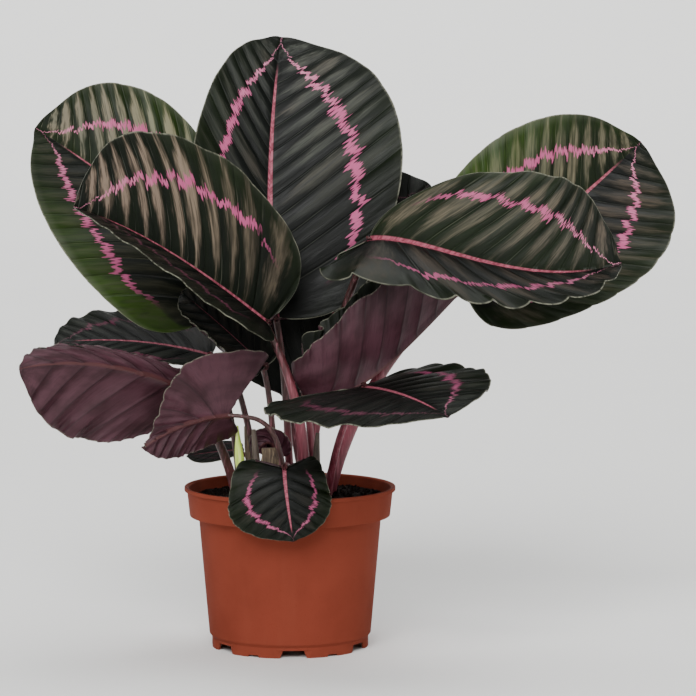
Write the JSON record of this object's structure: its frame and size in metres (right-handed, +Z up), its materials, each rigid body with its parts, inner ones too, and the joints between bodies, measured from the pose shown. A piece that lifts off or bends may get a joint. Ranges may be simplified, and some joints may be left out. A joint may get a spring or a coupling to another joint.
{
  "type": "potted calathea",
  "caption": "Potted calathea: broad dark oval leaves on thin petioles, growing in soil in a round stepped nursery pot with a notched foot.",
  "frame": {"origin": "middle of the plant's bounding box at the level the pot stands on; the pot's axis is 34.8 mm towards -X and 35.5 mm towards +Y from it", "axes": "+Z up, -Y towards the front of the plant, +X to the right seen from the front"},
  "size_m": [0.3664, 0.1992, 0.346],
  "materials": {
    "pot": "satin terracotta-coloured plastic",
    "soil": "dark crumbly peat potting soil",
    "leaf": "satin near-black green leaf with a pink ring and grey streaks above, purple beneath",
    "petiole": "satin pink to brown leaf stalk",
    "shoot": "smooth yellow-green young shoot",
    "sheath": "dry brown leaf sheath",
    "stub": "cut grey-brown stalk"
  },
  "bodies": {
    "root": {"dry_sheath": "sheath", "leaf_back_center": "leaf", "leaf_back_left": "leaf", "leaf_back_right": "leaf", "leaf_behind_left": "leaf", "leaf_cup_right": "leaf", "leaf_front_left": "leaf", "leaf_front_right": "leaf", "leaf_inner_cup": "leaf", "leaf_inner_small": "leaf", "leaf_low_back_left": "leaf", "leaf_low_left": "leaf", "leaf_low_right": "leaf", "leaf_middle_right": "leaf", "leaf_over_rim": "leaf", "leaf_small_left": "leaf", "pot": "pot", "potting_soil": "soil", "shoot_sheath": "sheath", "stem_back_center": "petiole", "stem_back_left": "petiole", "stem_back_right": "petiole", "stem_behind_left": "petiole", "stem_cup_right": "petiole", "stem_front_left": "petiole", "stem_front_right": "petiole", "stem_inner_cup": "petiole", "stem_inner_small": "petiole", "stem_low_back_left": "petiole", "stem_low_left": "petiole", "stem_low_right": "petiole", "stem_middle_right": "petiole", "stem_over_rim": "petiole", "stem_small_left": "petiole", "stub_left": "stub", "stub_right": "stub", "young_shoot": "shoot"}
  },
  "joints": []
}
